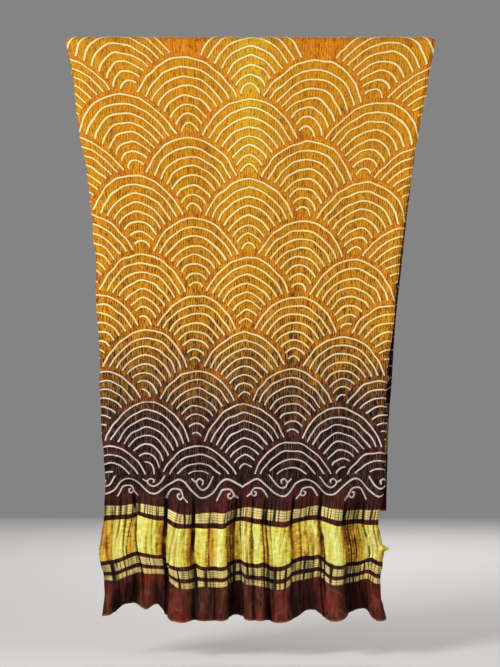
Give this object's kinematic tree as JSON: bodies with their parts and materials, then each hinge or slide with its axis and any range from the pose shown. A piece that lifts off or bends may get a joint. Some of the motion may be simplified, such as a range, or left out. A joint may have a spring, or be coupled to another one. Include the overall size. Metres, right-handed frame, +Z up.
{
  "type": "bandhani cloth hanging folded over",
  "caption": "Long crushed and tie-dyed silk cloth with rows of fans and gold woven bands, hanging folded with a long front fall and a shorter back fall.",
  "frame": {"origin": "middle of the top of the fold, where the cloth goes over its support", "axes": "+Z up, +X along the fold to the viewer's right, the front fall faces -Y"},
  "size_m": [0.784, 0.066, 1.2311],
  "materials": {
    "dyed_silk": "crushed silk, golden orange shading to maroon, with ivory resist-dyed lines and gold tissue bands"
  },
  "bodies": {
    "root": {"cloth": "dyed_silk"}
  },
  "joints": []
}
